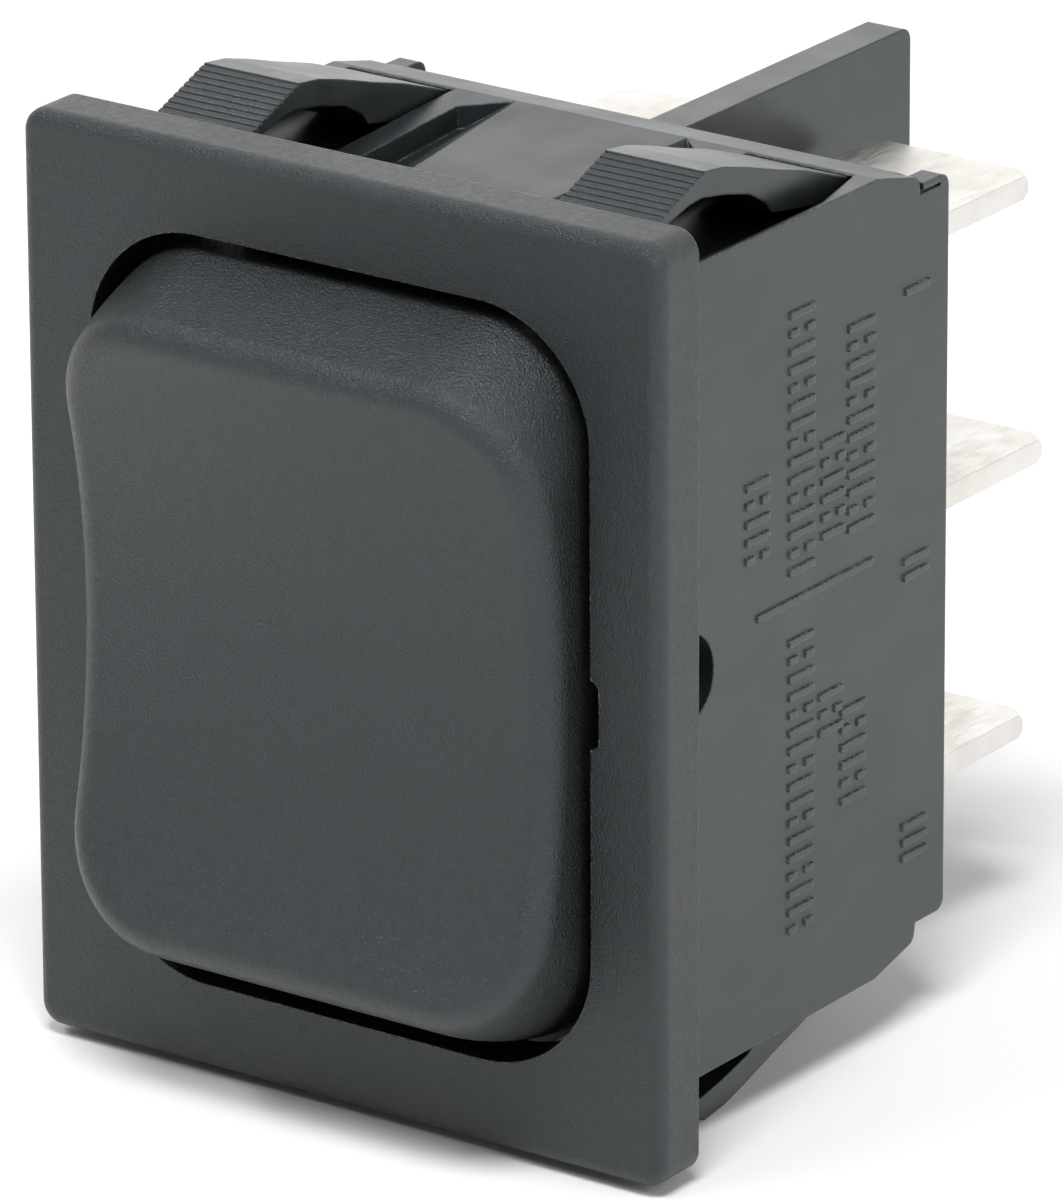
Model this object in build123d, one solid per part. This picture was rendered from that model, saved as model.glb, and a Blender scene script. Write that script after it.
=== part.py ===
"""Rocker wall switch: a snap-in panel switch with six quick-connect tabs.

Frame: X is the width, Y runs into the panel, Z is up along the long side.
The origin is the centre of the seat, where the back of the bezel meets the panel.
Every node is one STEP file in parts/. All sizes are in millimetres.
"""
import math
import os

from build123d import *

# Bezel, the frame that stays in front of the panel
BEZEL_W = 25.0
BEZEL_H = 31.7
BEZEL_T = 2.1
BEZEL_CORNER = 0.8
BEZEL_EDGE = 0.5
OPENING_W = 19.6
OPENING_H = 25.7
OPENING_CORNER = 4.3
NOTCH_HALF_H = 1.16
NOTCH_Z = -0.14
NOTCH_DEPTH = 0.32

# Body behind the panel
BODY_W = 21.6
BODY_H = 27.6
BODY_REAR = 16.6
CHEEK_T = 0.8
CHEEK_INNER = BODY_W / 2 - CHEEK_T
CHEEK_ROUND = 0.4
DECK_START = 12.55
DECK_END = 14.85
DECK_END_Z = 13.22
DECK_REAR = 16.05
DECK_REAR_Z = 12.65
STEP_Z = 12.6
CAVITY_FRONT_Z = OPENING_H / 2
CAVITY_FRONT_DEPTH = 2.2
CAVITY_Z = 12.05

# Relief in the seat, which keeps the seat one clean ring
RELIEF_DEPTH = 0.3
RELIEF_BODY_Z = BODY_H / 2 + 0.3
RELIEF_LATCH_Z = 15.5

# Ribs and grooves on the top and bottom of the body
RIB_INNER = 4.8
POCKET_INNER = 5.8
POCKET_OUTER = BODY_W / 2 - 0.15
POCKET_TAPER_Y = 9.5
RIB_FRONT_Z = 13.4
RIB_KNEE_Y = 5.2
GROOVE_FRONT_Y = 3.0
GROOVE_FRONT_Z = 12.4
GROOVE_FRONT_X = 1.3
GROOVE_REAR_X = 3.3
GROOVE_REAR_Z = 13.0
GROOVE_END_Y = 11.2
GROOVE_BANK = 0.9

# Latches, four sprung arms that catch behind the panel
LATCH_INNER = 6.0
LATCH_OUTER = 9.8
LATCH_APEX_Y = 4.2
LATCH_APEX_Z = 16.14
LATCH_TEETH = 12
LATCH_TOOTH_Y = 0.277
LATCH_TOOTH_Z = 0.105
LATCH_GROOVE = 0.11
LATCH_TIP_T = 0.3
HINGE_Y = 12.26
HINGE_Z = 13.4
HINGE_R = 0.36
HINGE_GAP = 0.03

# Rocker
PIVOT_Y = 1.73
ROCKER_HALF_W = 9.4
ROCKER_END_R = 12.75
ROCKER_SADDLE_Y = 3.72
ROCKER_SADDLE_CURVE = 0.0165
ROCKER_RIDGE_Z = 10.48
ROCKER_SKIRT_Y = -0.3
ROCKER_BELLY_Y = 0.5
ROCKER_BELLY_Z = 9.0
ROCKER_CORNER = 4.0
ROCKER_EDGE = 1.0
ROCKER_WALL = 1.2
ROCKER_RIB_Z = 5.2
ROCKER_RIB_END_Y = 0.2
EAR_Y = 4.2
EAR_HALF_Z = 3.2
PIN_R = 1.51
PIVOT_HOLE_R = 1.56
PIN_END_X = 10.25
PIN_CORE_R = 1.15
PIN_CORE_DEPTH = 1.5

# Plungers, the sprung pins under the rocker
POLE_X = 5.0
TUBE_R = 1.9
TUBE_END_Y = 6.2
BORE_R = 1.15
BORE_BOTTOM_Y = -2.3
PLUNGER_R = 1.1
PLUNGER_HEAD_Y = 3.6
PLUNGER_TIP_Y = 10.66
SPRING_WIRE_R = 0.12
SPRING_R = 0.85
SPRING_PITCH = 0.6
SPRING_GAP = 0.05

# See-saw contacts
SEESAW_BACK_Y = 11.2
SEESAW_T = 0.5
SEESAW_HALF_Z = 9.2
SEESAW_HALF_W = 2.1
DETENT_FLOOR_Z = 0.35
DETENT_HALF_Z = 1.1
DETENT_RISE = 0.15
SEESAW_EAR_T = 0.35
SEESAW_EAR_DEPTH = 1.0
SEESAW_EAR_HALF_Z = 0.9
CONTACT_Z = 7.9
CONTACT_R = 1.2
CONTACT_T = 0.5
CONTACT_RIM = 0.15
CONTACT_SHANK_R = 0.6
FIXED_CONTACT_Y = 12.6
FIT_GAP = 0.02

# Terminals
TAB_W = 6.3
TAB_T = 0.8
TAB_PITCH = 9.53
TAB_CORNER = 0.5
TAB_TIP_BEVEL = 0.2
TAB_HOLE_R = 0.9
TAB_HOLE_FROM_TIP = 3.9
OUTER_TAB_END = 25.9
MIDDLE_TAB_END = 26.9
PAD_FRONT_Y = FIXED_CONTACT_Y + CONTACT_T
PAD_W = 5.0
PAD_REACH = 2.9
FULCRUM_W = 3.4
KNIFE_HALF_T = 0.1
KNIFE_TAPER = 0.5

# Base and barrier
BASE_FRONT_Y = PAD_FRONT_Y + TAB_T + FIT_GAP
BASE_REAR_Y = DECK_REAR
SLOT_END = 1.0
BARRIER_T = 1.44
BARRIER_FRONT_Y = 7.5
BARRIER_REAR_Y = 29.5
BARRIER_HALF_H = 12.65
BARRIER_CORNER = 0.5
LUG_Y0 = 15.15
LUG_Z = 12.95
LUG_ROUND = 0.45
LUG_GROOVE = 0.12

# Raised marks on the right cheek: rows of plain dashes, and tallies 1, 2, 3 by the tabs
MARK_H = 0.07
MARK_W = 0.26
MARK_PITCH = 0.62
RULE_Y = (5.7, 12.3)
RULE_Z = 0.9
# Each row: y at its middle, length of its dashes, height at its top and at its bottom
MARK_ROWS = [
    (5.7, 1.3, 5.8, 2.1),
    (8.2, 1.4, 10.9, 1.6),
    (8.2, 1.4, -0.2, -10.8),
    (10.0, 1.3, 6.0, 1.9),
    (11.6, 1.5, 9.5, 2.0),
    (9.9, 1.3, -2.6, -4.5),
    (11.2, 1.4, -3.5, -7.3),
]
TALLY_Y = 14.8
TALLY_LENGTH = 1.4
TALLY_PITCH = 0.55

# How near an edge must be to a surface to count as lying on it
NEAR = 0.15

SIDES = {"left": -1, "right": 1}
ENDS = {"top": 1, "bottom": -1}


def block(x0, x1, y0, y1, z0, z1):
    """A box between two corners, given in any order."""
    size = (abs(x1 - x0), abs(y1 - y0), abs(z1 - z0))
    centre = ((x0 + x1) / 2, (y0 + y1) / 2, (z0 + z1) / 2)
    return Pos(*centre) * Box(*size)


def side_prism(points, x0, x1):
    """A solid with a side outline of (y, z) points, between two x planes."""
    plane = Plane(origin=(min(x0, x1), 0, 0), x_dir=(0, 1, 0), z_dir=(1, 0, 0))
    outline = make_face(Polyline(*points, close=True))
    return extrude(plane * outline, amount=abs(x1 - x0))


def plan_prism(outline, y0, y1):
    """A solid with a front outline, sketched in X and Z, between two y planes."""
    plane = Plane(origin=(0, y1, 0), x_dir=(1, 0, 0), z_dir=(0, -1, 0))
    return extrude(plane * outline, amount=y1 - y0)


def plan_block(points, z0, z1):
    """A solid with an outline of (x, y) points, seen from above, between two heights."""
    outline = make_face(Polyline(*[(x, y, z0) for x, y in points], close=True))
    return extrude(outline, amount=z1 - z0, dir=(0, 0, 1))


def rod_x(radius, x0, x1, y, z):
    """A rod along X."""
    length = abs(x1 - x0)
    return Pos((x0 + x1) / 2, y, z) * Rot(0, 90, 0) * Cylinder(radius, length)


def rod_y(radius, y0, y1, x, z):
    """A rod along Y."""
    return Pos(x, (y0 + y1) / 2, z) * Rot(90, 0, 0) * Cylinder(radius, abs(y1 - y0))


def below(points):
    """The same outline mirrored below the middle, in the order that closes the loop."""
    return [(y, -z) for y, z in reversed(points)]


def flip_x(shape, side):
    """The shape, or its mirror image for the left side."""
    return shape if side > 0 else mirror(shape, about=Plane.YZ)


def flip_z(shape, end):
    """The shape, or its mirror image for the bottom end."""
    return shape if end > 0 else mirror(shape, about=Plane.XY)


def save(name, shape):
    """Write one node."""
    shape.label = name
    export_step(shape, f"parts/{name}.step")


# ---------------------------------------------------------------- housing


def bezel_ring():
    """The bezel with its rounded opening and the two side notches."""
    outline = RectangleRounded(BEZEL_W, BEZEL_H, BEZEL_CORNER)
    ring = plan_prism(outline, -BEZEL_T, 0)
    front = ring.edges().group_by(Axis.Y)[0]
    ring = fillet(front, BEZEL_EDGE)
    opening = RectangleRounded(OPENING_W, OPENING_H, OPENING_CORNER)
    notch = Pos(0, NOTCH_Z) * RectangleRounded(OPENING_W + 2 * NOTCH_DEPTH, 2 * NOTCH_HALF_H, NOTCH_DEPTH)
    ring -= plan_prism(opening + notch, -BEZEL_T - 1, 1)
    for end in ENDS.values():
        for side in SIDES.values():
            ring -= flip_z(flip_x(seat_relief(), side), end)
    return ring


def body_shell():
    """The tube behind the bezel, open at the front and at the back."""
    half = BODY_H / 2
    slope = [(-RELIEF_DEPTH, half), (DECK_START, half), (DECK_END, DECK_END_Z)]
    deck = slope + [(DECK_REAR, DECK_REAR_Z)]
    cheek = slope + [(DECK_END + 0.1, STEP_Z), (BODY_REAR, STEP_Z)]
    shell = side_prism(deck + below(deck), -CHEEK_INNER, CHEEK_INNER)
    for side in SIDES.values():
        wall = side_prism(cheek + below(cheek), side * CHEEK_INNER, side * BODY_W / 2)
        shell += fillet([e for e in wall.edges() if is_rear_corner(e)], CHEEK_ROUND)
    shell -= block(-CHEEK_INNER, CHEEK_INNER, -1, CAVITY_FRONT_DEPTH, -CAVITY_FRONT_Z, CAVITY_FRONT_Z)
    shell -= block(-CHEEK_INNER, CHEEK_INNER, 0, BODY_REAR + 1, -CAVITY_Z, CAVITY_Z)
    return shell


def is_rear_corner(edge):
    """True for the rounded rear corners of a cheek."""
    spot = (edge.center().Y, abs(edge.center().Z))
    corners = [(DECK_END, DECK_END_Z), (BODY_REAR, STEP_Z)]
    return any(math.dist(spot, corner) < 0.01 for corner in corners)


def rib_slope():
    """What is cut from the top so that the two ribs fall towards the bezel."""
    half = BODY_H / 2
    outline = [(-1, RIB_FRONT_Z), (RIB_KNEE_Y, RIB_FRONT_Z), (DECK_START, half)]
    outline += [(DECK_START, half + 1), (-1, half + 1)]
    return side_prism(outline, -POCKET_INNER, POCKET_INNER)


def groove_section(y, x_shallow, z_deep):
    """One cross-section of a groove: deep beside the rib, running out towards the middle."""
    top = BODY_H / 2 + 0.05
    x_floor = x_shallow + GROOVE_BANK * (RIB_INNER - x_shallow)
    points = [(RIB_INNER, y, top), (RIB_INNER, y, z_deep), (x_floor, y, z_deep), (x_shallow, y, top)]
    return make_face(Polyline(*points, close=True))


def rib_groove():
    """The hollow beside a rib, which gets deeper and wider towards the bezel."""
    front = groove_section(GROOVE_FRONT_Y, GROOVE_FRONT_X, GROOVE_FRONT_Z)
    rear = groove_section(DECK_START, GROOVE_REAR_X, GROOVE_REAR_Z)
    beyond = [(RIB_INNER, GROOVE_END_Y), (RIB_INNER, DECK_START), (GROOVE_REAR_X, DECK_START)]
    return loft([front, rear]) - plan_block(beyond, STEP_Z, BODY_H)


def latch_pocket():
    """The pocket that a latch springs down into, with the round seat for its root."""
    floor_front = CAVITY_FRONT_Z - 0.1
    outline = [(-1, floor_front), (HINGE_Y, HINGE_Z - HINGE_R), (HINGE_Y, BODY_H), (-1, BODY_H)]
    pocket = side_prism(outline, POCKET_INNER, POCKET_OUTER)
    corner = [(CHEEK_INNER, HINGE_Y), (POCKET_OUTER, POCKET_TAPER_Y)]
    corner += [(POCKET_OUTER, BODY_REAR), (CHEEK_INNER, BODY_REAR)]
    pocket -= plan_block(corner, CAVITY_Z, BODY_H)
    seat = rod_x(HINGE_R + HINGE_GAP, POCKET_INNER, CHEEK_INNER, HINGE_Y, HINGE_Z)
    return pocket + seat


def seat_relief():
    """A shallow step in the back of the bezel, around the body and behind a latch."""
    around_body = block(0, BODY_W / 2, -RELIEF_DEPTH, 0, CAVITY_FRONT_Z, RELIEF_BODY_Z)
    behind_latch = block(POCKET_INNER, CHEEK_INNER, -RELIEF_DEPTH, 0, CAVITY_FRONT_Z, RELIEF_LATCH_Z)
    return around_body + behind_latch


def cheek_lug():
    """The small rounded lug on the upper rear corner of a cheek, over a short groove."""
    lug = block(CHEEK_INNER, BODY_W / 2, LUG_Y0, BODY_REAR, STEP_Z - 1, LUG_Z)
    crown = [e for e in lug.edges() if e.center().Z > LUG_Z - 0.01 and e.center().Y > BODY_REAR - 0.01]
    lug = fillet(crown, LUG_ROUND)
    y1 = BODY_REAR - LUG_ROUND
    groove = block(BODY_W / 2 - LUG_GROOVE, BODY_W, LUG_Y0, y1, STEP_Z - LUG_GROOVE, STEP_Z + LUG_GROOVE)
    return lug - groove


def raised_bar(y, z, along_y, along_z):
    """A raised bar on the right cheek, centred at y and z."""
    face = BODY_W / 2
    return Pos(face, y, z) * Box(2 * MARK_H, along_y, along_z)


def mark_row(y, length, z_top, z_bottom):
    """One row of plain raised dashes, with every third one broken in the middle."""
    count = int((z_top - z_bottom) / MARK_PITCH)
    marks = []
    for i in range(count):
        z = z_top - (i + 0.5) * MARK_PITCH
        if i % 3 == 1:
            marks.append(raised_bar(y - length / 3, z, length / 3, MARK_W))
            marks.append(raised_bar(y + length / 3, z, length / 3, MARK_W))
        else:
            marks.append(raised_bar(y, z, length, MARK_W))
    return marks


def tally(count, z):
    """Raised bars that number a tab row, beside the tab."""
    first = z + (count - 1) * TALLY_PITCH / 2
    return [raised_bar(TALLY_Y, first - i * TALLY_PITCH, TALLY_LENGTH, MARK_W) for i in range(count)]


def cheek_marks():
    """Every raised mark on the right cheek."""
    marks = [raised_bar(sum(RULE_Y) / 2, RULE_Z, RULE_Y[1] - RULE_Y[0], MARK_W)]
    for row in MARK_ROWS:
        marks += mark_row(*row)
    for number, z in ((1, TAB_PITCH), (2, 0), (3, -TAB_PITCH)):
        marks += tally(number, z)
    return marks


def housing():
    """Bezel and body, moulded in one."""
    shape = body_shell()
    for end in ENDS.values():
        shape -= flip_z(rib_slope(), end)
        for side in SIDES.values():
            shape -= flip_z(flip_x(rib_groove(), side), end)
            shape -= flip_z(flip_x(latch_pocket(), side), end)
    shape += bezel_ring()
    for side in SIDES.values():
        shape += flip_x(cheek_lug(), side)
    shape -= rod_x(PIVOT_HOLE_R, -BODY_W, BODY_W, PIVOT_Y, 0)
    return shape + cheek_marks()


# ---------------------------------------------------------------- latches


def latch_top_line():
    """The upper outline of a latch from its tip to its root, with the grooves across its ramp."""
    points = []
    y_start = LATCH_APEX_Y - LATCH_TEETH * LATCH_TOOTH_Y
    z_start = LATCH_APEX_Z - LATCH_TEETH * LATCH_TOOTH_Z
    for tooth in range(LATCH_TEETH):
        for share, sunk in ((0.0, 0.0), (0.66, 0.02), (0.80, LATCH_GROOVE)):
            y = y_start + (tooth + share) * LATCH_TOOTH_Y
            z = z_start + (tooth + share) * LATCH_TOOTH_Z - sunk
            points.append((y, z))
    points += [(LATCH_APEX_Y, LATCH_APEX_Z), (5.3, 16.0), (6.55, 15.65), (8.2, 15.12), (9.9, 14.62)]
    return points


def latch():
    """The top right latch: an arched arm that turns a little about its round root."""
    tip_z = latch_top_line()[0][1]
    tip_y = latch_top_line()[0][0]
    root_top = (HINGE_Y, HINGE_Z + HINGE_R)
    root_low = (HINGE_Y, HINGE_Z - HINGE_R)
    under = [root_low, (11.2, 13.2), (8.6, 13.62), (7.95, 13.75), (7.62, 14.16), (6.7, 14.7), (5.3, 15.07)]
    under += [(4.06, 15.3), (3.34, 15.24), (2.36, 14.99), (1.6, 14.75), (tip_y, tip_z - LATCH_TIP_T)]
    arm = side_prism(latch_top_line() + [root_top] + under, LATCH_INNER, LATCH_OUTER)
    return arm + rod_x(HINGE_R, LATCH_INNER, LATCH_OUTER, HINGE_Y, HINGE_Z)


# ---------------------------------------------------------------- rocker


def saddle_y(z):
    """How far forward the face of the rocker is at height z."""
    return -(ROCKER_SADDLE_Y + ROCKER_SADDLE_CURVE * z * z)


def end_z(y):
    """Height of the rocker's end face at depth y."""
    return math.sqrt(ROCKER_END_R**2 - (y - PIVOT_Y) ** 2)


def rocker_blank():
    """The rocker as a full block, with its rounded corners and front edges."""
    ridge = (saddle_y(ROCKER_RIDGE_Z), ROCKER_RIDGE_Z)
    skirt = (ROCKER_SKIRT_Y, end_z(ROCKER_SKIRT_Y))
    middle_y = (ridge[0] + skirt[0]) / 2
    middle = (middle_y, end_z(middle_y))
    saddle = ThreePointArc((ridge[0], -ridge[1]), (saddle_y(0), 0), ridge)
    upper = ThreePointArc(ridge, middle, skirt)
    lower = ThreePointArc((skirt[0], -skirt[1]), (middle[0], -middle[1]), (ridge[0], -ridge[1]))
    belly = [skirt, (ROCKER_BELLY_Y, ROCKER_BELLY_Z), (EAR_Y, EAR_HALF_Z)]
    under = Polyline(*(belly + below(belly)))
    plane = Plane(origin=(-ROCKER_HALF_W, 0, 0), x_dir=(0, 1, 0), z_dir=(1, 0, 0))
    blank = extrude(plane * make_face([saddle, upper, under, lower]), amount=2 * ROCKER_HALF_W)
    corners = [e for e in blank.edges() if is_on_end(e) and abs(e.center().X) > ROCKER_HALF_W - 0.1]
    blank = fillet(corners, ROCKER_CORNER)
    front = [e for e in blank.edges() if is_on_saddle(e)]
    return fillet(front, ROCKER_EDGE)


def is_on_end(edge):
    """True for the edges of the rocker's two end faces."""
    return abs(abs(edge.center().Z) - end_z(edge.center().Y)) < NEAR


def is_on_saddle(edge):
    """True for the edges around the rocker's front face."""
    points = [edge @ t for t in (0.1, 0.5, 0.9)]
    return all(abs(p.Y - saddle_y(p.Z)) < NEAR for p in points)


def rocker_hollow():
    """The space inside the rocker, behind its face, open towards the back."""
    ceiling = [(saddle_y(z) + ROCKER_WALL, z) for z in (0, ROCKER_RIDGE_Z / 2, ROCKER_RIDGE_Z - ROCKER_WALL)]
    wall_z = end_z(ROCKER_SKIRT_Y) - ROCKER_WALL
    upper = ceiling + [(ROCKER_SKIRT_Y, wall_z), (EAR_Y + 1, wall_z)]
    inner = side_prism(upper + below(upper[1:]), -ROCKER_HALF_W, ROCKER_HALF_W)
    plan = RectangleRounded(2 * (ROCKER_HALF_W - ROCKER_WALL), 2 * wall_z, ROCKER_CORNER)
    return inner & plan_prism(plan, -2 * ROCKER_SADDLE_Y, 2 * EAR_Y)


def rocker_rib(z):
    """A stiffening rib across the inside of the rocker."""
    half = ROCKER_HALF_W - ROCKER_WALL / 2
    half_t = ROCKER_WALL / 2
    return block(-half, half, saddle_y(z) + half_t, ROCKER_RIB_END_Y, z - half_t, z + half_t)


def rocker():
    """The rocker with its pivot pins, its ribs and the two plunger tubes."""
    shape = rocker_blank() - rocker_hollow()
    for z in (-ROCKER_RIB_Z, ROCKER_RIB_Z):
        shape += rocker_rib(z)
    for side in SIDES.values():
        shape += rod_y(TUBE_R, saddle_y(0) + ROCKER_WALL / 2, TUBE_END_Y, side * POLE_X, 0)
        shape += rod_x(PIN_R, side * (ROCKER_HALF_W - ROCKER_WALL / 2), side * PIN_END_X, PIVOT_Y, 0)
        shape -= rod_y(BORE_R, BORE_BOTTOM_Y, TUBE_END_Y + 1, side * POLE_X, 0)
        shape -= rod_x(PIN_CORE_R, side * (PIN_END_X - PIN_CORE_DEPTH), side * (PIN_END_X + 1), PIVOT_Y, 0)
    return shape


# ---------------------------------------------------------------- plungers


def plunger(side):
    """A round-nosed pin that slides in its tube."""
    nose_y = PLUNGER_TIP_Y - PLUNGER_R
    body = rod_y(PLUNGER_R, PLUNGER_HEAD_Y, nose_y, side * POLE_X, 0)
    return body + Pos(side * POLE_X, nose_y, 0) * Sphere(PLUNGER_R)


def plunger_spring(side):
    """The coil spring between the bottom of the tube and the plunger."""
    start = BORE_BOTTOM_Y + SPRING_WIRE_R + SPRING_GAP
    height = PLUNGER_HEAD_Y - SPRING_WIRE_R - SPRING_GAP - start
    path = Helix(pitch=SPRING_PITCH, height=height, radius=SPRING_R)
    section = Plane(origin=path @ 0, z_dir=path % 0) * Circle(SPRING_WIRE_R)
    coil = sweep(section, path=path)
    return Pos(side * POLE_X, start, 0) * Rot(-90, 0, 0) * coil


# ---------------------------------------------------------------- see-saws


def seesaw(side):
    """A see-saw strip with an off notch in the middle and two ears beside the fulcrum."""
    front = SEESAW_BACK_Y - SEESAW_T
    half = [(front, DETENT_FLOOR_Z), (front - DETENT_RISE, DETENT_HALF_Z), (front, 2 * DETENT_HALF_Z)]
    half += [(front, SEESAW_HALF_Z), (SEESAW_BACK_Y, SEESAW_HALF_Z)]
    outline = half + below(half)
    centre = side * POLE_X
    strip = side_prism(outline, centre - SEESAW_HALF_W, centre + SEESAW_HALF_W)
    for ear in (-1, 1):
        x_out = centre + ear * SEESAW_HALF_W
        x_in = x_out - ear * SEESAW_EAR_T
        y1 = SEESAW_BACK_Y + SEESAW_EAR_DEPTH
        strip += block(x_in, x_out, SEESAW_BACK_Y - FIT_GAP, y1, -SEESAW_EAR_HALF_Z, SEESAW_EAR_HALF_Z)
    for z in (-CONTACT_Z, CONTACT_Z):
        strip -= rod_y(CONTACT_SHANK_R + FIT_GAP, front - 1, SEESAW_BACK_Y + 1, centre, z)
    return strip


def contact_rivet(x, z, face_y, back_y, shank_y):
    """A contact button with its shank. The face is domed a little at its rim."""
    button = rod_y(CONTACT_R, face_y, back_y, x, z)
    rim = [e for e in button.edges() if abs(e.center().Y - face_y) < 0.01]
    button = fillet(rim, CONTACT_RIM)
    return button + rod_y(CONTACT_SHANK_R, back_y, shank_y, x, z)


def moving_contacts(side):
    """The two buttons riveted to one see-saw."""
    face = SEESAW_BACK_Y + CONTACT_T
    front = SEESAW_BACK_Y - SEESAW_T
    pair = [contact_rivet(side * POLE_X, z, face, SEESAW_BACK_Y, front) for z in (-CONTACT_Z, CONTACT_Z)]
    return Compound(children=pair)


def fixed_contacts(end):
    """The two buttons riveted to the two terminals of one end."""
    back = PAD_FRONT_Y + TAB_T
    pair = []
    for side in SIDES.values():
        pair.append(contact_rivet(side * POLE_X, end * CONTACT_Z, FIXED_CONTACT_Y, PAD_FRONT_Y, back))
    return Compound(children=pair)


# ---------------------------------------------------------------- terminals


def tab_blade(x, z, y0, y1):
    """A quick-connect tab with cut corners, a bevelled tip and a catch hole."""
    blade = block(x - TAB_W / 2, x + TAB_W / 2, y0, y1, z - TAB_T / 2, z + TAB_T / 2)
    corners = [e for e in blade.edges() if abs(e.length - TAB_T) < 0.01 and e.center().Y > y1 - 0.01]
    blade = chamfer(corners, TAB_CORNER)
    tip = [e for e in blade.edges() if e.center().Y > y1 - TAB_CORNER and abs(e.center().Z - z) > TAB_T / 4]
    blade = chamfer(tip, TAB_TIP_BEVEL)
    hole = Pos(x, y1 - TAB_HOLE_FROM_TIP, z) * Cylinder(TAB_HOLE_R, 2 * TAB_T)
    return blade - hole


def outer_terminal(side, end):
    """A tab bent over inside the base, where it carries a fixed contact."""
    x = side * POLE_X
    z = end * TAB_PITCH
    back = PAD_FRONT_Y + TAB_T
    z_out = z + end * TAB_T / 2
    pad = block(x - PAD_W / 2, x + PAD_W / 2, PAD_FRONT_Y, back, z_out, z_out - end * (PAD_REACH + TAB_T))
    pad -= rod_y(CONTACT_SHANK_R + FIT_GAP, PAD_FRONT_Y - 1, back + 1, x, end * CONTACT_Z)
    return pad + tab_blade(x, z, PAD_FRONT_Y + TAB_T / 2, OUTER_TAB_END)


def middle_terminal(side):
    """A tab whose narrow inner end is the fulcrum of a see-saw."""
    x = side * POLE_X
    edge_y = SEESAW_BACK_Y + FIT_GAP
    half = [(edge_y, KNIFE_HALF_T), (edge_y + KNIFE_TAPER, TAB_T / 2), (BASE_FRONT_Y + 1, TAB_T / 2)]
    fulcrum = side_prism(half + below(half), x - FULCRUM_W / 2, x + FULCRUM_W / 2)
    return fulcrum + tab_blade(x, 0, PAD_FRONT_Y + TAB_T / 2, MIDDLE_TAB_END)


# ---------------------------------------------------------------- base and barrier


def terminal_base():
    """The plate that closes the back, with a slot for each tab and for the barrier."""
    half_w = CHEEK_INNER - FIT_GAP
    half_h = CAVITY_Z - FIT_GAP
    shape = block(-half_w, half_w, BASE_FRONT_Y, BASE_REAR_Y, -half_h, half_h)
    for side in SIDES.values():
        for row in (-1, 0, 1):
            x = side * POLE_X
            z = row * TAB_PITCH
            wide = TAB_W / 2 + FIT_GAP
            high = TAB_T / 2 + FIT_GAP
            shape -= block(x - wide, x + wide, BASE_FRONT_Y - 1, BODY_REAR, z - high, z + high)
    thick = BARRIER_T / 2 + FIT_GAP
    slot_half_h = half_h - SLOT_END
    shape -= block(-thick, thick, BASE_FRONT_Y - 1, BODY_REAR, -slot_half_h, slot_half_h)
    return shape


def pole_barrier():
    """The insulating fin between the two poles, inside the case and behind it."""
    thick = BARRIER_T / 2
    neck = CAVITY_Z - SLOT_END - 2 * FIT_GAP
    fin = block(-thick, thick, DECK_REAR + FIT_GAP, BARRIER_REAR_Y, -BARRIER_HALF_H, BARRIER_HALF_H)
    corners = [e for e in fin.edges() if e.center().Y > BARRIER_REAR_Y - 0.01 and abs(e.center().Z) > 1]
    fin = fillet([e for e in corners if abs(e.length - BARRIER_T) < 0.01], BARRIER_CORNER)
    return fin + block(-thick, thick, BARRIER_FRONT_Y, BODY_REAR + 1, -neck, neck)


def main():
    os.makedirs("parts", exist_ok=True)
    save("housing", housing())
    save("rocker", rocker())
    save("terminal_base", terminal_base())
    save("pole_barrier", pole_barrier())
    for side_name, side in SIDES.items():
        save(f"plunger_{side_name}", plunger(side))
        save(f"plunger_spring_{side_name}", plunger_spring(side))
        save(f"seesaw_{side_name}", seesaw(side))
        save(f"moving_contacts_{side_name}", moving_contacts(side))
        save(f"terminal_{side_name}_middle", middle_terminal(side))
        for end_name, end in ENDS.items():
            save(f"latch_{end_name}_{side_name}", flip_z(flip_x(latch(), side), end))
            save(f"terminal_{side_name}_{end_name}", outer_terminal(side, end))
    for end_name, end in ENDS.items():
        save(f"fixed_contacts_{end_name}", fixed_contacts(end))


if __name__ == "__main__":
    main()
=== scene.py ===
"""Looks of the rocker wall switch: plastic and metal finishes, studio and camera.

The CAD nodes keep their shapes. Each gets a material made of nodes. Lengths are in metres.
"""
import math

import bpy
from mathutils import Matrix, Vector


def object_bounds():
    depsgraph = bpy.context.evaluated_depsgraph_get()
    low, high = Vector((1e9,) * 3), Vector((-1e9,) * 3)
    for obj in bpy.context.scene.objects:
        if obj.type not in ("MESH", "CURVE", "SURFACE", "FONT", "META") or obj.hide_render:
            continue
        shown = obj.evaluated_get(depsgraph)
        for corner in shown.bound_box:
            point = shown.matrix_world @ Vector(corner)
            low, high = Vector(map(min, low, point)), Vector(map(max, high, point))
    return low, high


MM = 0.001

# Camera, which looks at the seat of the switch from the front right and above
CAMERA_AZIMUTH = math.radians(35.534)
CAMERA_ELEVATION = math.radians(20.496)
CAMERA_ROLL = math.radians(0.288)
CAMERA_DISTANCE = 371.136 * MM
CAMERA_OFFSET = (4.924 * MM, 0.947 * MM)
CAMERA_LENS = 347.92
CAMERA_SENSOR = 36.0

# Studio: name, direction from the switch, distance, width, height, radiance
SOFTBOXES = [
    ("key_light", (0.22, -0.34, 0.92), 0.60, 0.24, 0.16, 25.0),
    ("strip_light", (-0.46, -0.42, 0.76), 0.60, 0.55, 0.07, 13.0),
    ("back_light", (-0.45, 0.85, 0.30), 0.95, 1.80, 0.90, 1.35),
    ("right_light", (0.95, 0.30, 0.30), 0.90, 0.90, 0.90, 2.0),
]
ROOM_LIGHT = 0.12
FLOOR_GAP = 0.05 * MM
FLOOR_REACH = 3.0
FLOOR_COLOUR = (0.90, 0.90, 0.90, 1)

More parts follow.
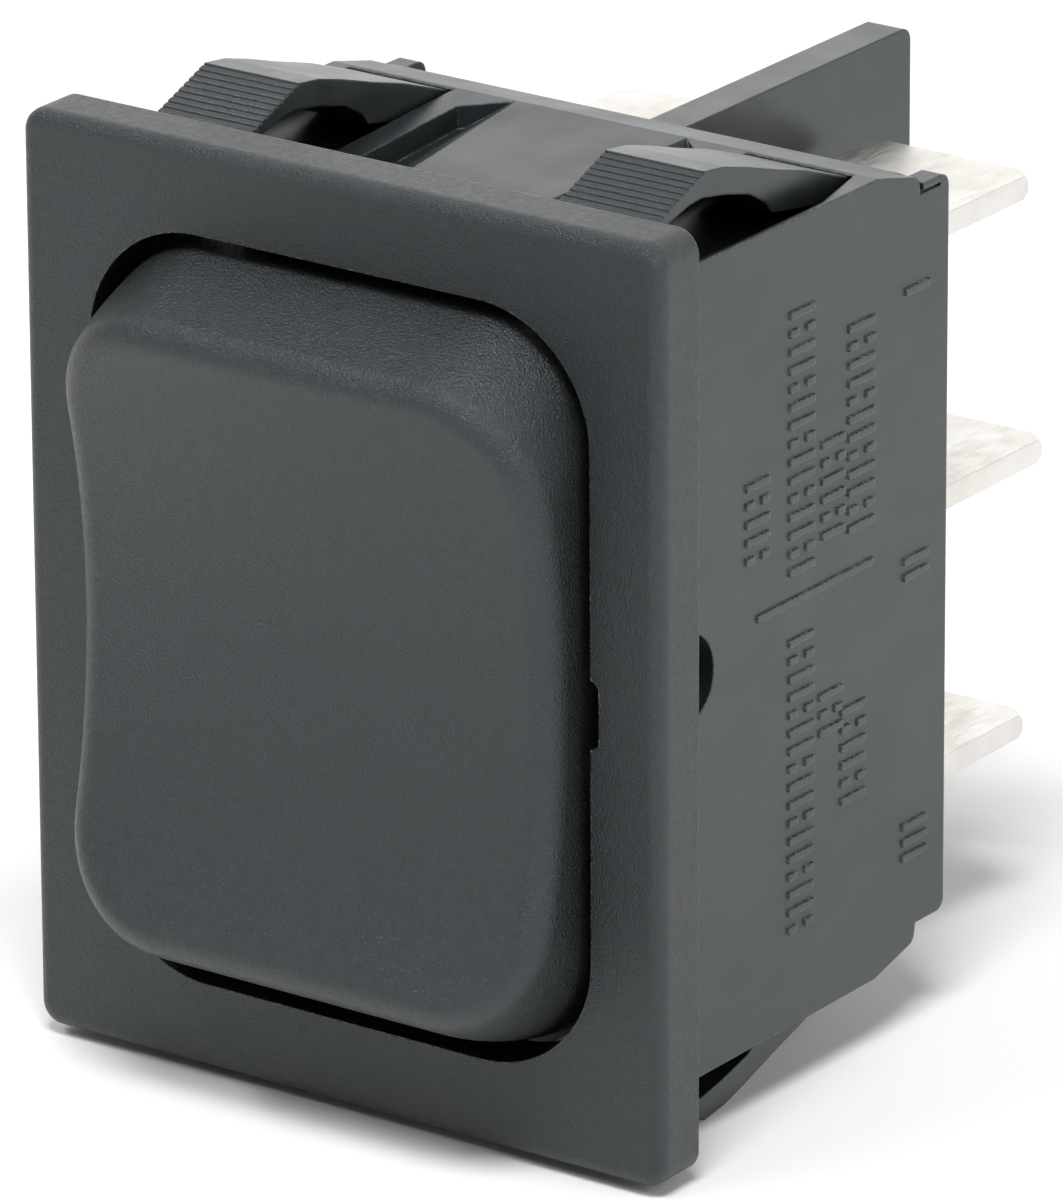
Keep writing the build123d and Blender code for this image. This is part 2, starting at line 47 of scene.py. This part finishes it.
# Plastics: linear colours
BEZEL_COLOUR = (0.0085, 0.0100, 0.0112, 1)
BODY_COLOUR = (0.0115, 0.0135, 0.0150, 1)
# Light grey painted in specks along sharp edges: a painted edge highlight as well as wear
GLINT_AND_WEAR_COLOUR = (0.30, 0.31, 0.32, 1)
COOL_GLINT = (0.90, 0.97, 1.0, 1)
EDGE_RADIUS = 0.10 * MM
EDGE_OPEN = 0.985
EDGE_SHARP = 0.90
BEVEL_SAMPLES = 4

# Grain of the spark-eroded faces: spots, share of the fine ones, depth, and the painted shade in its pits
# and painted light on its tops
COARSE_SPOT = 0.12 * MM
FINE_SPOT = 0.06 * MM
FINE_SHARE = 0.55
BEZEL_GRAIN_DEPTH = 0.080 * MM
ROCKER_GRAIN_DEPTH = 0.075 * MM
PIT_PAINTED_SHADE = 0.72
TOP_PAINTED_LIGHT = 1.35
PIT_TO_TOP = (0.38, 0.62)

# Where the finish of the housing changes: across the seat, and above the cheek onto its raised marks
SEAT_BLEND = 0.05 * MM
MARKS_START = 10.81 * MM
MARKS_FULL = 10.84 * MM
MARKS_ROUGHNESS = 0.18
SATIN_HEIGHT = 0.16

# Range of a noise's values that its ramps spread out
NOISE_LOW = 0.3
NOISE_HIGH = 0.7


class Tree:
    """A material and a short way to add and join its nodes."""

    def __init__(self, name):
        self.material = bpy.data.materials.new(name)
        self.material.use_nodes = True
        self.nodes = self.material.node_tree.nodes
        self.links = self.material.node_tree.links
        self.shader = self.nodes["Principled BSDF"]
        self.place = self.nodes.new("ShaderNodeTexCoord").outputs["Object"]

    def join(self, value, socket):
        """Sets a socket to a value, or links another socket to it."""
        if isinstance(value, bpy.types.NodeSocket):
            self.links.new(value, socket)
        else:
            socket.default_value = value

    def finish(self, socket_name, value):
        """Sets or links one input of the shader."""
        self.join(value, self.shader.inputs[socket_name])

    def math(self, operation, a, b=0.0):
        """One arithmetic step."""
        node = self.nodes.new("ShaderNodeMath")
        node.operation = operation
        self.join(a, node.inputs[0])
        self.join(b, node.inputs[1])
        return node.outputs[0]

    def axis(self, letter):
        """One coordinate of the point, in metres."""
        node = self.nodes.new("ShaderNodeSeparateXYZ")
        self.join(self.place, node.inputs[0])
        return node.outputs[letter]

    def ramp(self, value, start, end, low=0.0, high=1.0):
        """A smooth step from low at start to high at end."""
        node = self.nodes.new("ShaderNodeMapRange")
        node.interpolation_type = "SMOOTHSTEP"
        for socket, number in zip(node.inputs, (value, start, end, low, high)):
            self.join(number, socket)
        return node.outputs[0]

    def spread(self, noise, low, high):
        """A noise spread out between low and high."""
        return self.ramp(noise, NOISE_LOW, NOISE_HIGH, low, high)

    def stretched(self, stretch):
        """The point's coordinates with each axis multiplied."""
        node = self.nodes.new("ShaderNodeMapping")
        self.join(self.place, node.inputs["Vector"])
        node.inputs["Scale"].default_value = stretch
        return node.outputs["Vector"]

    def noise(self, size, detail=2.0, stretch=(1, 1, 1)):
        """Soft noise whose spots are about this size."""
        node = self.nodes.new("ShaderNodeTexNoise")
        self.join(self.stretched(stretch), node.inputs["Vector"])
        node.inputs["Scale"].default_value = 1 / size
        node.inputs["Detail"].default_value = detail
        return node.outputs[0]

    def specks(self, size, share):
        """1 in a share of small random cells, 0 elsewhere."""
        node = self.nodes.new("ShaderNodeTexVoronoi")
        self.join(self.place, node.inputs["Vector"])
        node.inputs["Scale"].default_value = 1 / size
        cell = self.nodes.new("ShaderNodeSeparateColor")
        self.join(node.outputs["Color"], cell.inputs[0])
        return self.math("LESS_THAN", cell.outputs[0], share)

    def blend(self, share, a, b):
        """A number between a and b."""
        node = self.nodes.new("ShaderNodeMix")
        self.join(share, node.inputs[0])
        self.join(a, node.inputs[2])
        self.join(b, node.inputs[3])
        return node.outputs[0]

    def blend_colour(self, share, a, b):
        """A colour between a and b."""
        node = self.nodes.new("ShaderNodeMix")
        node.data_type = "RGBA"
        self.join(share, node.inputs[0])
        self.join(a, node.inputs[6])
        self.join(b, node.inputs[7])
        return node.outputs[2]

    def rounded(self, radius):
        """The surface direction with sharp edges rounded off."""
        node = self.nodes.new("ShaderNodeBevel")
        node.samples = BEVEL_SAMPLES
        node.inputs["Radius"].default_value = radius
        return node.outputs[0]

    def edges(self, radius):
        """1 along sharp edges, 0 on open faces."""
        flat = self.nodes.new("ShaderNodeNewGeometry").outputs["Normal"]
        node = self.nodes.new("ShaderNodeVectorMath")
        node.operation = "DOT_PRODUCT"
        self.join(self.rounded(radius), node.inputs[0])
        self.join(flat, node.inputs[1])
        return self.ramp(node.outputs["Value"], EDGE_OPEN, EDGE_SHARP)

    def relief(self, height, depth, radius=EDGE_RADIUS):
        """Raises and lowers the surface by height, 0 to 1, times depth."""
        node = self.nodes.new("ShaderNodeBump")
        node.inputs["Strength"].default_value = 1.0
        node.inputs["Distance"].default_value = depth
        self.join(height, node.inputs["Height"])
        self.join(self.rounded(radius), node.inputs["Normal"])
        self.finish("Normal", node.outputs[0])


# ---------------------------------------------------------------- materials


def sparked_height(tree):
    """The grain of a spark-eroded mould: coarse pits with finer ones between them."""
    coarse = tree.noise(COARSE_SPOT, detail=3)
    fine = tree.noise(FINE_SPOT, detail=3)
    return tree.blend(FINE_SHARE, coarse, fine)


def grain_shaded_colour(tree, height, colour):
    """The colour, darker in the pits of the grain and lighter on its tops: painted shade and painted light
    that follow the grain's height.
    """
    dark = [PIT_PAINTED_SHADE * part for part in colour[:3]] + [1]
    light = [TOP_PAINTED_LIGHT * part for part in colour[:3]] + [1]
    return tree.blend_colour(tree.ramp(height, *PIT_TO_TOP), dark, light)


def housing_plastic():
    """Spark-eroded grain on the bezel, and satin with faint flow marks on the body."""
    tree = Tree("housing_plastic")
    behind = tree.ramp(tree.axis("Y"), -SEAT_BLEND, SEAT_BLEND)
    cloud = tree.noise(3 * MM, detail=3)
    flow = tree.noise(1.2 * MM, detail=4, stretch=(1, 0.3, 1))
    grain = sparked_height(tree)
    # Specks along sharp edges painted light grey: a painted highlight as well as wear, stronger on the bezel
    # than on the body
    glint_and_wear = tree.math("MULTIPLY", tree.edges(0.10 * MM), tree.specks(0.07 * MM, 0.35))
    glint_and_wear = tree.math("MULTIPLY", glint_and_wear, tree.ramp(behind, 0.5, 1.0, 0.8, 0.35))
    raised = tree.ramp(tree.axis("X"), MARKS_START, MARKS_FULL)
    raised = tree.math("MULTIPLY", raised, behind)
    # The bezel's colour carries painted shade in the grain's pits and painted light on its tops.
    pit_shaded_base = tree.blend_colour(behind, grain_shaded_colour(tree, grain, BEZEL_COLOUR), BODY_COLOUR)
    tree.finish("Base Color", tree.blend_colour(glint_and_wear, pit_shaded_base, GLINT_AND_WEAR_COLOUR))
    front_rough = tree.spread(tree.noise(0.3 * MM), 0.31, 0.40)
    flow_rough = tree.spread(flow, -0.02, 0.03)
    satin_rough = tree.math("ADD", tree.spread(cloud, 0.32, 0.40), flow_rough)
    rough = tree.blend(behind, front_rough, satin_rough)
    tree.finish("Roughness", tree.blend(raised, rough, MARKS_ROUGHNESS))
    satin = tree.math("MULTIPLY", tree.blend(0.4, flow, tree.noise(0.12 * MM, detail=3)), SATIN_HEIGHT)
    tree.finish("Specular IOR Level", 0.8)
    tree.finish("Specular Tint", COOL_GLINT)
    tree.relief(tree.blend(behind, grain, satin), BEZEL_GRAIN_DEPTH)
    return tree.material


def rocker_plastic():
    """The bezel's spark-eroded grain, a little shallower and glossier."""
    tree = Tree("rocker_plastic")
    grain = sparked_height(tree)
    # Specks along sharp edges painted light grey: a painted highlight as well as wear
    glint_and_wear = tree.math("MULTIPLY", tree.edges(0.14 * MM), tree.specks(0.10 * MM, 0.25))
    # The colour carries painted shade in the grain's pits and painted light on its tops.
    pit_shaded_base = grain_shaded_colour(tree, grain, BEZEL_COLOUR)
    tree.finish("Base Color", tree.blend_colour(tree.math("MULTIPLY", glint_and_wear, 0.4), pit_shaded_base, GLINT_AND_WEAR_COLOUR))
    tree.finish("Roughness", tree.spread(tree.noise(0.3 * MM), 0.29, 0.38))
    tree.finish("Specular IOR Level", 0.8)
    tree.finish("Specular Tint", COOL_GLINT)
    tree.relief(grain, ROCKER_GRAIN_DEPTH)
    return tree.material


def smooth_plastic():
    """Semi-gloss moulded plastic for the latches, the base and the barrier."""
    tree = Tree("smooth_plastic")
    cloud = tree.noise(2 * MM, detail=4)
    # Specks along sharp edges painted light grey: a painted highlight as well as wear
    glint_and_wear = tree.math("MULTIPLY", tree.edges(0.07 * MM), tree.specks(0.06 * MM, 0.30))
    tree.finish("Base Color", tree.blend_colour(tree.math("MULTIPLY", glint_and_wear, 0.25), BODY_COLOUR, GLINT_AND_WEAR_COLOUR))
    tree.finish("Roughness", tree.spread(cloud, 0.27, 0.36))
    tree.finish("Specular IOR Level", 0.75)
    tree.finish("Specular Tint", COOL_GLINT)
    tree.relief(tree.blend(0.5, cloud, tree.noise(0.11 * MM, detail=3)), 0.009 * MM)
    return tree.material


def natural_acetal():
    """Milky plastic of the plungers, with faint turning lines."""
    tree = Tree("natural_acetal")
    lines = tree.noise(0.15 * MM, detail=2, stretch=(0.1, 1, 0.1))
    milky = tree.blend_colour(tree.noise(1 * MM), (0.62, 0.60, 0.54, 1), (0.74, 0.72, 0.66, 1))
    tree.finish("Base Color", milky)
    tree.finish("Roughness", tree.spread(lines, 0.28, 0.40))
    tree.shader.inputs["Subsurface Weight"].default_value = 0.15
    tree.shader.inputs["Subsurface Radius"].default_value = (0.6 * MM, 0.5 * MM, 0.4 * MM)
    tree.relief(lines, 0.004 * MM)
    return tree.material


def metal(name, light, dark, rough, grain_size, grain_stretch, depth):
    """A metal with rolling or drawing lines, small stains and softly polished edges."""
    tree = Tree(name)
    lines = tree.noise(grain_size, detail=3, stretch=grain_stretch)
    stain = tree.noise(1.5 * MM, detail=4)
    edge = tree.edges(0.08 * MM)
    tone = tree.blend_colour(tree.ramp(stain, 0.35, 0.75), light, dark)
    tree.finish("Base Color", tree.blend_colour(tree.math("MULTIPLY", edge, 0.5), tone, light))
    tree.shader.inputs["Metallic"].default_value = 1.0
    lined = tree.spread(lines, rough - 0.05, rough + 0.06)
    tree.finish("Roughness", tree.math("ADD", lined, tree.ramp(stain, 0.3, 0.8, 0, 0.05)))
    tree.relief(lines, depth, radius=0.05 * MM)
    return tree.material


def tin_plate():
    """Bright plated brass of the tabs, with rolling lines along the blade."""
    light, dark = (0.76, 0.74, 0.71, 1), (0.70, 0.67, 0.62, 1)
    return metal("tin_plate", light, dark, 0.36, 0.10 * MM, (1, 0.10, 1), 0.0012 * MM)


def silver_alloy():
    """Contact buttons."""
    light, dark = (0.90, 0.89, 0.86, 1), (0.70, 0.67, 0.62, 1)
    return metal("silver_alloy", light, dark, 0.32, 0.12 * MM, (1, 1, 1), 0.004 * MM)


def copper_strip():
    """Rolled strip of the see-saws."""
    light, dark = (0.86, 0.52, 0.34, 1), (0.62, 0.34, 0.20, 1)
    return metal("copper_strip", light, dark, 0.30, 0.10 * MM, (1, 1, 0.06), 0.004 * MM)


def spring_wire():
    """Drawn steel wire."""
    light, dark = (0.62, 0.62, 0.62, 1), (0.46, 0.46, 0.46, 1)
    return metal("spring_wire", light, dark, 0.25, 0.05 * MM, (1, 1, 1), 0.002 * MM)


def paint_nodes(nodes):
    """Gives every CAD node its material."""
    plastic = smooth_plastic()
    tin = tin_plate()
    silver = silver_alloy()
    copper = copper_strip()
    kinds = {
        "housing": housing_plastic(),
        "rocker": rocker_plastic(),
        "terminal_base": plastic,
        "pole_barrier": plastic,
        "latch": plastic,
        "plunger_spring": spring_wire(),
        "plunger": natural_acetal(),
        "seesaw": copper,
        "moving_contacts": silver,
        "fixed_contacts": silver,
        "terminal": tin,
    }
    for name, node in nodes.items():
        kind = next(k for k in kinds if name.startswith(k))
        node.data.materials.clear()
        node.data.materials.append(kinds[kind])


# ---------------------------------------------------------------- studio


def pale_floor(height):
    """A wide plain floor under the switch."""
    corners = [(-1, -1), (1, -1), (1, 1), (-1, 1)]
    mesh = bpy.data.meshes.new("floor")
    points = [(x * FLOOR_REACH, y * FLOOR_REACH, height) for x, y in corners]
    mesh.from_pydata(points, [], [(0, 1, 2, 3)])
    floor = bpy.data.objects.new("floor", mesh)
    bpy.context.scene.collection.objects.link(floor)
    tree = Tree("floor_paint")
    tree.finish("Base Color", FLOOR_COLOUR)
    tree.finish("Roughness", tree.spread(tree.noise(8 * MM, detail=3), 0.85, 0.95))
    mesh.materials.append(tree.material)


def softbox(name, toward, distance, width, height, radiance):
    """A rectangular light that faces the switch from one direction."""
    light = bpy.data.lights.new(name, "AREA")
    light.shape = "RECTANGLE"
    light.size = width
    light.size_y = height
    light.energy = radiance * math.pi * width * height
    box = bpy.data.objects.new(name, light)
    away = Vector(toward).normalized()
    box.location = away * distance
    box.rotation_euler = away.to_track_quat("Z", "Y").to_euler()
    bpy.context.scene.collection.objects.link(box)


def room_light():
    """Even light from all round."""
    world = bpy.data.worlds.new("room")
    world.use_nodes = True
    background = world.node_tree.nodes["Background"]
    background.inputs["Color"].default_value = (1, 1, 1, 1)
    background.inputs["Strength"].default_value = ROOM_LIGHT
    bpy.context.scene.world = world


def place_camera():
    """The camera at its measured direction, distance and roll, with the switch a little off centre."""
    sin_a, cos_a = math.sin(CAMERA_AZIMUTH), math.cos(CAMERA_AZIMUTH)
    sin_e, cos_e = math.sin(CAMERA_ELEVATION), math.cos(CAMERA_ELEVATION)
    back = Vector((sin_a * cos_e, -cos_a * cos_e, sin_e))
    level = Vector((cos_a, sin_a, 0))
    upright = back.cross(level)
    right = math.cos(CAMERA_ROLL) * level - math.sin(CAMERA_ROLL) * upright
    up = math.sin(CAMERA_ROLL) * level + math.cos(CAMERA_ROLL) * upright
    turn = Matrix((right, up, back)).transposed()
    data = bpy.data.cameras.new("camera")
    data.lens = CAMERA_LENS
    data.sensor_fit = "AUTO"
    data.sensor_width = CAMERA_SENSOR
    data.clip_start = CAMERA_DISTANCE * 0.02
    data.clip_end = FLOOR_REACH * 4
    camera = bpy.data.objects.new("camera", data)
    camera.location = CAMERA_OFFSET[0] * right + CAMERA_OFFSET[1] * up + CAMERA_DISTANCE * back
    camera.rotation_euler = turn.to_euler()
    bpy.context.scene.collection.objects.link(camera)
    bpy.context.scene.camera = camera


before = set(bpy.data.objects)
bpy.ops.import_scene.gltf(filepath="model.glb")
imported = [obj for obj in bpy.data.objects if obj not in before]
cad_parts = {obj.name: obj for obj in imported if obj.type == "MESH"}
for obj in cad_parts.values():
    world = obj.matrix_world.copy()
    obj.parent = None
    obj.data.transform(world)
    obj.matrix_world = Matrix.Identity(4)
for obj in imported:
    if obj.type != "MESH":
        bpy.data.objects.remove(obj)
cad_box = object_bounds()
paint_nodes(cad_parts)
pale_floor(cad_box[0].z - FLOOR_GAP)
for softbox_row in SOFTBOXES:
    softbox(*softbox_row)
room_light()
place_camera()
bpy.context.scene.view_settings.view_transform = "Standard"
